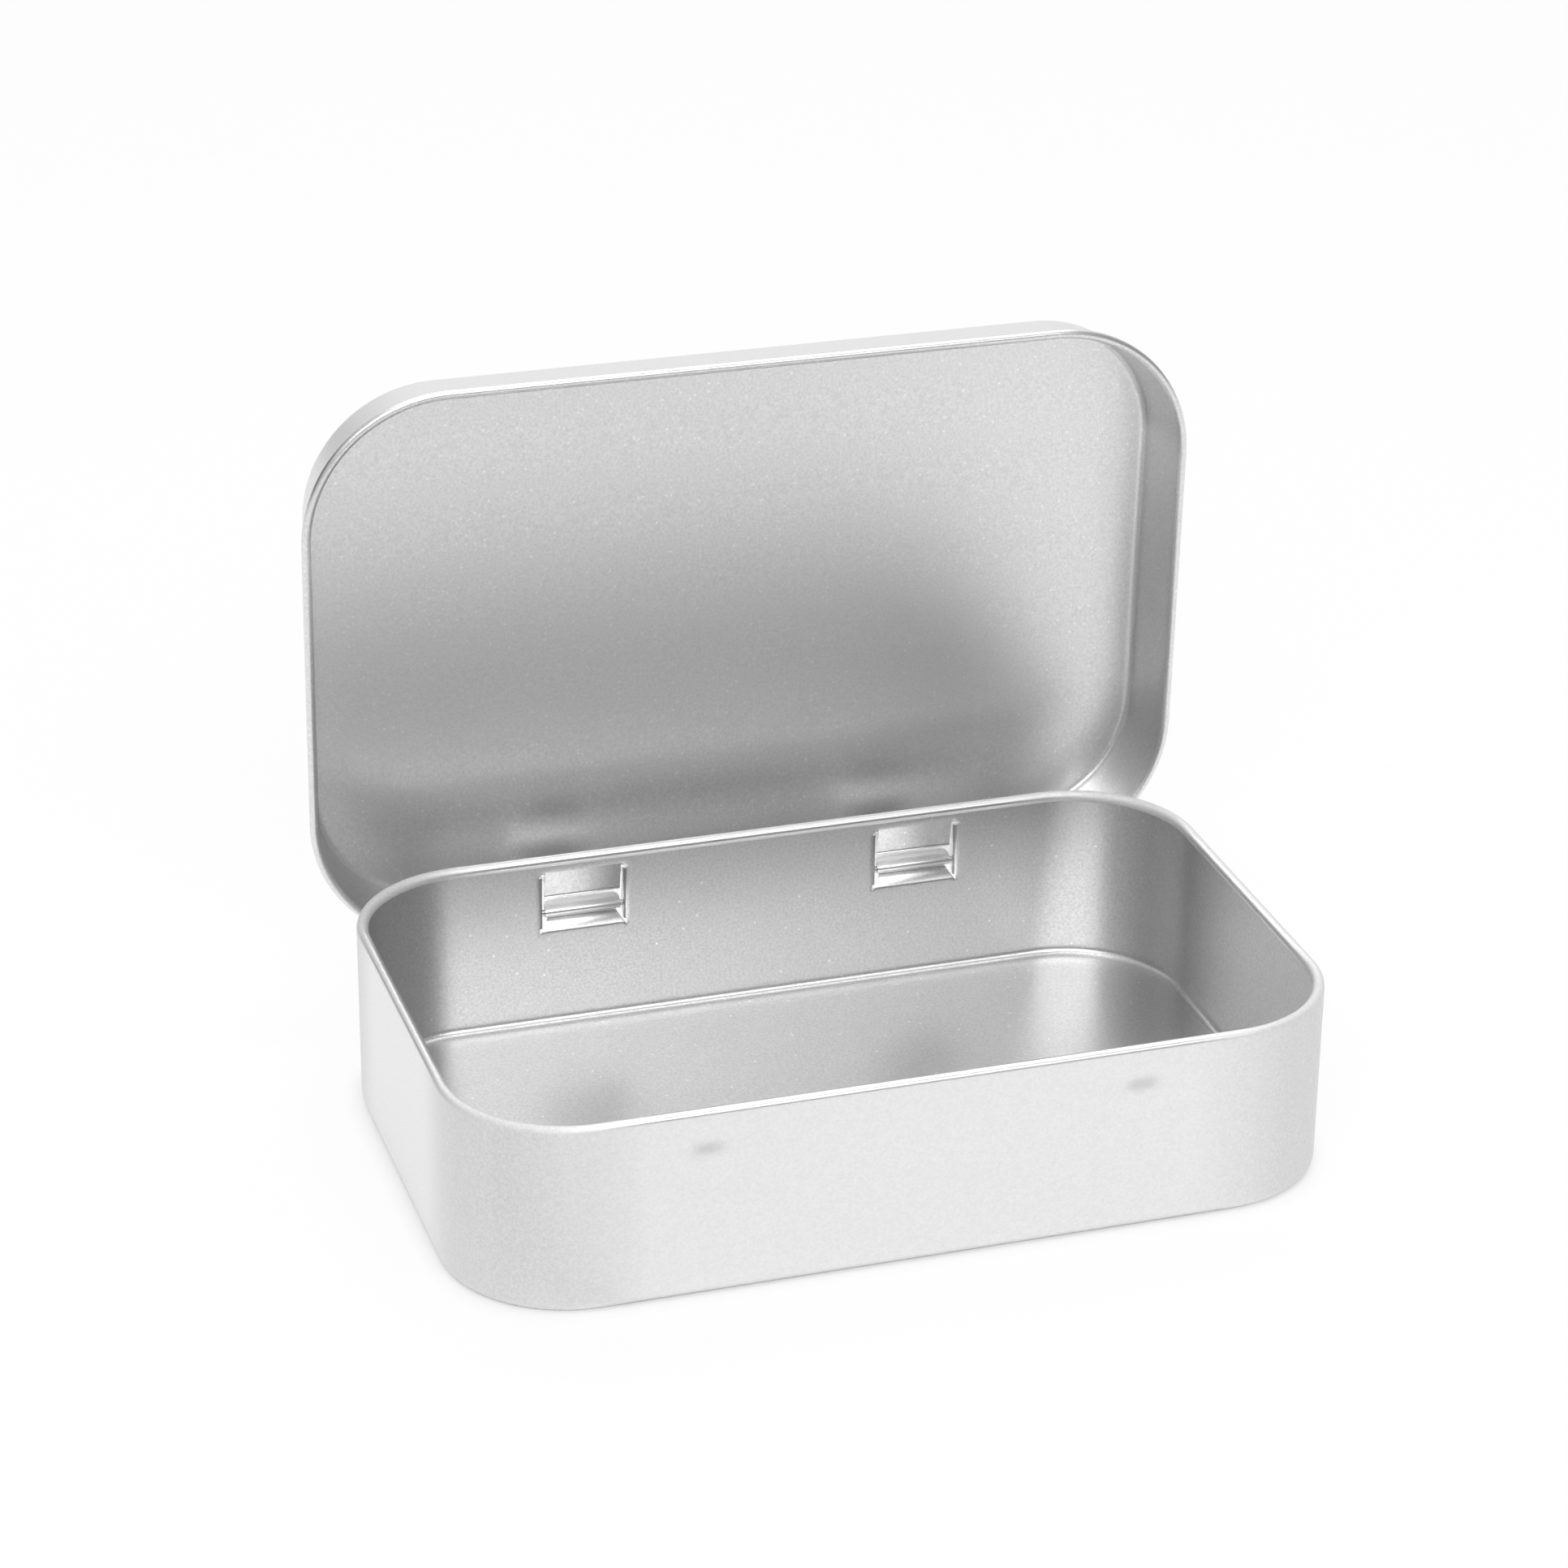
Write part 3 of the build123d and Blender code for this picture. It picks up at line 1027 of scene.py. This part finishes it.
@dataclass(frozen=True)
class Studio:
    """White table, pale surroundings and soft lamps."""

    floor_size: float = 40.0
    floor_drop: float = 0.02 * MM
    floor_colour: str = "#F7F7F7"
    floor_glow_share: float = 0.88
    contact_reach: float = 2.0 * MM
    contact_samples: int = 4
    room_level: float = 0.38
    room_tones: tuple[RoomTone, ...] = (
        RoomTone(163.0, 32.0, 0.5, 0.7),
        RoomTone(-41.0, 13.0, 0.18, -0.7),
        RoomTone(-102.0, -1.0, 0.62, -1.0),
        RoomTone(-77.0, 18.0, 0.54, 1.2),
    )
    lamps: tuple[Softbox, ...] = (
        Softbox("front_softbox", -10.0, 39.5, 1.3, 1.28, 0.54, 4.4),
        Softbox("top_softbox", 9.0, 83.0, 1.2, 1.2, 0.42, 2.4),
        Softbox("back_softbox", 172.0, 58.0, 1.3, 1.1, 0.6, 1.6),
    )

    def build(self, target: Vector) -> None:
        """Builds the floor, the world and the lamps.

        Args:
            target: The point that they stand round.
        """
        scene = bpy.context.scene
        scene.view_settings.view_transform = "Standard"
        bpy.ops.object.select_all(action="DESELECT")
        bpy.ops.mesh.primitive_plane_add(size=self.floor_size, location=(0, 0, -self.floor_drop))
        floor = bpy.context.object
        floor.name = "table_top"
        dress(floor, self._floor_material())
        self._world()
        for lamp in self.lamps:
            lamp.hang(target)

    def _floor_material(self) -> bpy.types.Material:
        """A matt white table that reads as a white background to the eye and in the metal.

        The white gives way to the lit surface close under the tin, where its contact shadow lies.

        Returns:
            The finished material.
        """
        material, tree = new_material("matt_white_table")
        matt = add_node(tree, "ShaderNodeBsdfDiffuse", values={"Color": linear(self.floor_colour)})
        glow = add_node(tree, "ShaderNodeEmission", values={"Strength": 1.0})
        paths = add_node(tree, "ShaderNodeLightPath").outputs
        seen = add_node(tree, "ShaderNodeMath", {"operation": "MAXIMUM"},
                        links={0: paths["Is Camera Ray"], 1: paths["Is Glossy Ray"]})
        seen = add_node(tree, "ShaderNodeMath", {"operation": "MAXIMUM"},
                        links={0: seen.outputs["Value"], 1: paths["Is Transmission Ray"]})
        open_air = add_node(tree, "ShaderNodeAmbientOcclusion", {"samples": self.contact_samples},
                            {"Distance": self.contact_reach})
        clear = add_node(tree, "ShaderNodeMath", {"operation": "MULTIPLY"}, {1: self.floor_glow_share},
                         {0: open_air.outputs["AO"]})
        share = add_node(tree, "ShaderNodeMath", {"operation": "MULTIPLY"},
                         links={0: seen.outputs["Value"], 1: clear.outputs["Value"]})
        mixed = add_node(tree, "ShaderNodeMixShader",
                         links={0: share.outputs["Value"], 1: matt.outputs["BSDF"],
                                2: glow.outputs["Emission"]})
        add_node(tree, "ShaderNodeOutputMaterial", links={"Surface": mixed.outputs["Shader"]})
        return material

    def _world(self) -> None:
        """A pale room with a few softly brighter and darker sides."""
        world = bpy.data.worlds.new("pale_room")
        bpy.context.scene.world = world
        world.use_nodes = True
        tree = world.node_tree
        tree.nodes.clear()
        place = add_node(tree, "ShaderNodeTexCoord").outputs["Generated"]
        total = None
        for tone in self.room_tones:
            towards = add_node(tree, "ShaderNodeVectorMath", {"operation": "DOT_PRODUCT"},
                               {1: direction(tone.azimuth, tone.elevation)}, {0: place}).outputs["Value"]
            change = add_node(tree, "ShaderNodeMapRange",
                              {"clamp": True, "interpolation_type": "SMOOTHSTEP"},
                              {"From Min": tone.edge, "From Max": 1.0, "To Min": 0.0,
                               "To Max": tone.change}, {"Value": towards}).outputs["Result"]
            total = add_node(tree, "ShaderNodeMath", {"operation": "ADD"}, {0: self.room_level},
                             {1: change} if total is None else {0: total, 1: change}).outputs["Value"]
        lit = add_node(tree, "ShaderNodeMath", {"operation": "MAXIMUM"}, {1: 0.0}, {0: total})
        back = add_node(tree, "ShaderNodeBackground", links={"Strength": lit.outputs["Value"]})
        add_node(tree, "ShaderNodeOutputWorld", links={"Surface": back.outputs["Background"]})


@dataclass(frozen=True)
class PhotoCamera:
    """The photograph's camera, found from the tin's edges in its frame of 1932 pixels."""

    azimuth: float = -17.904
    elevation: float = 25.118
    roll: float = 0.609
    distance: float = 455.28 * MM
    aim_side: float = -5.399 * MM
    aim_height: float = 38.354 * MM
    focal_pixels: float = 5632.0
    frame_pixels: float = 1932.0
    sensor: float = 36.0

    def build(self) -> None:
        """Adds the camera and makes it the scene's."""
        data = bpy.data.cameras.new("photo_camera")
        data.sensor_width = self.sensor
        data.lens = self.focal_pixels / self.frame_pixels * self.sensor
        camera = bpy.data.objects.new("photo_camera", data)
        scene = bpy.context.scene
        scene.collection.objects.link(camera)
        back = direction(self.azimuth, self.elevation)
        across = Vector((0, 0, 1)).cross(back).normalized()
        upright = back.cross(across)
        roll = math.radians(self.roll)
        right = across * math.cos(roll) + upright * math.sin(roll)
        up = upright * math.cos(roll) - across * math.sin(roll)
        place = Vector((0, 0, self.aim_height)) + right * self.aim_side + back * self.distance
        turned = Matrix((right, up, back)).transposed().to_4x4()
        camera.matrix_world = Matrix.Translation(place) @ turned
        scene.camera = camera


def place_on(piece: bpy.types.Object, body: str, nodes: Sequence[str]) -> None:
    """Lets a piece ride on a body and stand for CAD nodes, and logs its face count.

    Args:
        piece: The finished piece.
        body: The body that it moves with.
        nodes: The CAD nodes that it stands for.
    """
    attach(piece, body)
    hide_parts(*nodes)
    log.info("%s: %d faces", piece.name, len(piece.data.polygons))


def main() -> None:
    """Builds the tin, the studio and the camera."""
    logging.basicConfig(level=logging.INFO, format="%(message)s")
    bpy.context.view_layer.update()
    low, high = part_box("tin_body")
    length, height = high.x - low.x, high.z
    width, corner_radius, corner_ease, stretch_run = 58.0 * MM, 12.9 * MM, 0.4 * MM, 5.0 * MM
    hinge = HingeSizes(Vector(frame["joints"][0]["pos_m"]))
    tray = Tray(hinge, DrawnSheet("tray_of_tinplate", length, width, corner_radius), height)
    lid = Lid(hinge, DrawnSheet("lid_of_tinplate", length, width, corner_radius + corner_ease), height)
    stretch = corner_radius + stretch_run
    start = (length / 2 - stretch, width / 2 - stretch)
    tray_outside = SatinTinplate(name="silver_tinplate_tray_outside", colour="#F3F3F3", shade="#EBEBEB",
                                 roughness=0.36, point_share=0.0, corner_roughness=0.4,
                                 corner_start=start, corner_radius=stretch)
    # The tray's inner colours are set darker than its outer ones as painted shade for the tray's hollow.
    tray_inside_with_painted_shade = SatinTinplate(name="silver_tinplate_tray_inside", colour="#DFDFDF", shade="#CDCDCD",
                                roughness=0.34, point_share=0.02)
    lid_outside = SatinTinplate(name="silver_tinplate_lid_outside", colour="#F3F3F3", shade="#EBEBEB",
                                roughness=0.36, point_share=0.0)
    lid_inside = SatinTinplate(name="silver_tinplate_lid_inside", colour="#EFEFEF", shade="#DFDFDF",
                               roughness=0.35, point_share=0.1)
    for builder, body, outside, inside in ((tray, "tin_body", tray_outside, tray_inside_with_painted_shade),
                                           (lid, "lid", lid_outside, lid_inside)):
        piece = builder.build()
        dress(piece, outside.make(), inside.make())
        place_on(piece, body, [body])
    wire = DrawnWire().make()
    for name in ("left_hinge_pin", "right_hinge_pin"):
        dress(frame["nodes"][name], wire)
    Studio().build(Vector((0, 0, height)))
    PhotoCamera().build()


if __name__ == "__main__":
    main()
